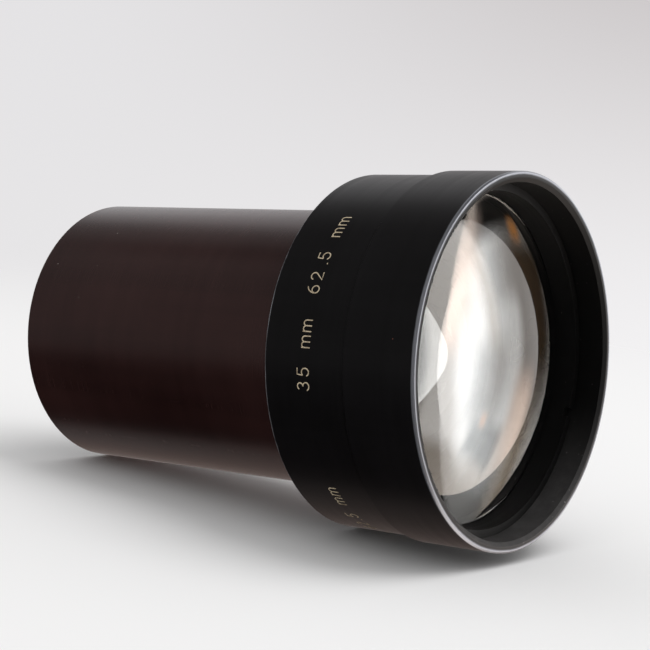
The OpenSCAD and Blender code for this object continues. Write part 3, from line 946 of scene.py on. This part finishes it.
# what gloss and glass see round the lens, each patch over those before it: the direction of its middle in
# degrees round Z from +X and above the horizon, its half sizes and edge softness in degrees, and its
# brightness against a white of 1
surroundings = {
    "brightRoom": {"at": (-45, 0), "half": (62, 60), "soft": 15, "light": (1.15, 1.13, 1.12)},
    "below": {"at": (0, -90), "half": (400, 80), "soft": 14, "light": (0.28, 0.22, 0.20)},
    "underWindow": {"at": (-47, -47), "half": (35, 29), "soft": 12, "light": (2.9, 2.6, 2.35)},
    "darkCeiling": {"at": (-60, 56), "half": (48, 18), "soft": 8, "light": (0.02, 0.02, 0.02)},
    "behindCamera": {"at": (-145, 0), "half": (38, 60), "soft": 14, "light": (0.07, 0.07, 0.07)},
    "dimRoom": {"at": (150, 20), "half": (88, 68), "soft": 12, "light": (0.26, 0.25, 0.25)},
    "darkBelow": {"at": (128, -42), "half": (46, 30), "soft": 7, "light": (0.01, 0.004, 0.004)},
    "darkBeam": {"at": (97, 52), "half": (9, 8), "soft": 4, "light": (0.10, 0.09, 0.09)},
    "sideWall": {"at": (-31, -4), "half": (8, 14), "soft": 4, "light": (2.9, 2.95, 3.0)},
    "window": {"at": (-57, 4), "half": (17.5, 29), "soft": 3.5, "light": (5.9, 5.75, 5.7)},
    "warmFrame": {"at": (-42, 10), "half": (2.5, 14), "soft": 5, "light": (1.5, 1.05, 0.6)},
    "windowPost": {"at": (-43, -8), "half": (9, 10), "soft": 6, "light": (0.30, 0.20, 0.12)},
    "darkCorner": {"at": (-36, -21), "half": (11, 4.5), "soft": 2.5, "light": (0.01, 0.01, 0.01)},
    "warmSide": {"at": (-19, -14), "half": (7, 8), "soft": 5, "light": (2.9, 2.3, 2.0)},
    "warmLamp": {"at": (-41, -16.5), "half": (1.6, 1.6), "soft": 1.4, "light": (2.6, 1.1, 0.30)},
}


def makeSoftPatch():
    tree, given, out = newGroup(
        "softPatch",
        {
            "Coordinates": None, "Centre azimuth": 0, "Centre elevation": 0,
            "Half width": 10, "Half height": 10, "Softness": 2,
        },
        ["Mask"],
    )
    azimuth, elevation = apart(tree, given["Coordinates"])[:2]
    turned = plus(tree, minus(tree, azimuth, given["Centre azimuth"]), 180)
    sideways = minus(tree, sums(tree, "FLOORED_MODULO", turned, 360), 180)
    upward = minus(tree, elevation, given["Centre elevation"])
    masks = []
    for offset, half in ((sideways, given["Half width"]), (upward, given["Half height"])):
        outside = minus(tree, sums(tree, "ABSOLUTE", offset), half)
        masks.append(smoothStep(tree, outside, given["Softness"], times(tree, given["Softness"], -1)))
    tree.links.new(times(tree, *masks), out["Mask"])
    return tree


def makeWorld(values, patches):
    world = bpy.data.worlds.new("studio")
    scene.world = world
    world.use_nodes = True
    world.cycles.sampling_method = "NONE"    # matt surfaces take the even light as it is
    tree = world.node_tree
    background = tree.nodes["Background"]
    x, y, z = apart(tree, tree.nodes.new("ShaderNodeTexCoord").outputs["Generated"])
    azimuth = sums(tree, "DEGREES", sums(tree, "ARCTAN2", y, x))
    elevation = sums(tree, "DEGREES", sums(tree, "ARCSINE", z))
    path = tree.nodes.new("ShaderNodeLightPath").outputs

    # backdrop, brighter to the right and darker towards the top
    rightward = smoothStep(tree, azimuth, values["leftFrom"], values["rightFrom"])
    middle = mixColour(tree, rightward, values["left"], values["right"])
    top = mixColour(tree, rightward, values["leftTop"], values["rightTop"])
    room = mixColour(tree, smoothStep(tree, elevation, values["topFrom"], values["topFull"]), middle, top)

    # over it, the room as gloss and glass see it
    unseen = minus(tree, 1, path["Is Camera Ray"])
    softPatch = makeSoftPatch()
    angles = together(tree, azimuth, elevation, 0)
    for patch in patches.values():
        mask = place(
            tree, softPatch, angles,
            Centre_azimuth=patch["at"][0], Centre_elevation=patch["at"][1],
            Half_width=patch["half"][0], Half_height=patch["half"][1], Softness=patch["soft"],
        )["Mask"]
        room = mixColour(tree, times(tree, mask, unseen), room, patch["light"])

    # matt surfaces get an even light
    up = smoothStep(tree, z, values["ambientFrom"], values["ambientTo"])
    even = mixColour(tree, up, (values["ambientDown"],) * 3, (values["ambientUp"],) * 3)
    glossOrGlass = plus(tree, path["Is Glossy Ray"], path["Is Transmission Ray"])
    shown = plus(tree, path["Is Camera Ray"], glossOrGlass, clamp=True)
    tree.links.new(mixColour(tree, shown, even, room), background.inputs["Color"])
    background.inputs["Strength"].default_value = 1


makeWorld(backdrop, surroundings)

overheadSoftbox = {"azimuth": -60, "elevation": 62, "distance": 1.6, "size": 1.1, "power": 9}


def makeLamp(name, values):
    turn, lift = math.radians(values["azimuth"]), math.radians(values["elevation"])
    towards = Vector((math.cos(lift) * math.cos(turn), math.cos(lift) * math.sin(turn), math.sin(lift)))
    data = bpy.data.lights.new(name, "AREA")
    data.shape = "DISK"
    data.size = values["size"]
    data.energy = values["power"]
    lamp = bpy.data.objects.new(name, data)
    lamp.location = towards * values["distance"]
    lamp.rotation_euler = towards.to_track_quat("Z", "Y").to_euler()
    lamp.visible_camera = False
    lamp.visible_glossy = False
    lamp.visible_transmission = False
    scene.collection.objects.link(lamp)


makeLamp("overheadSoftbox", overheadSoftbox)
print("stage and light made")
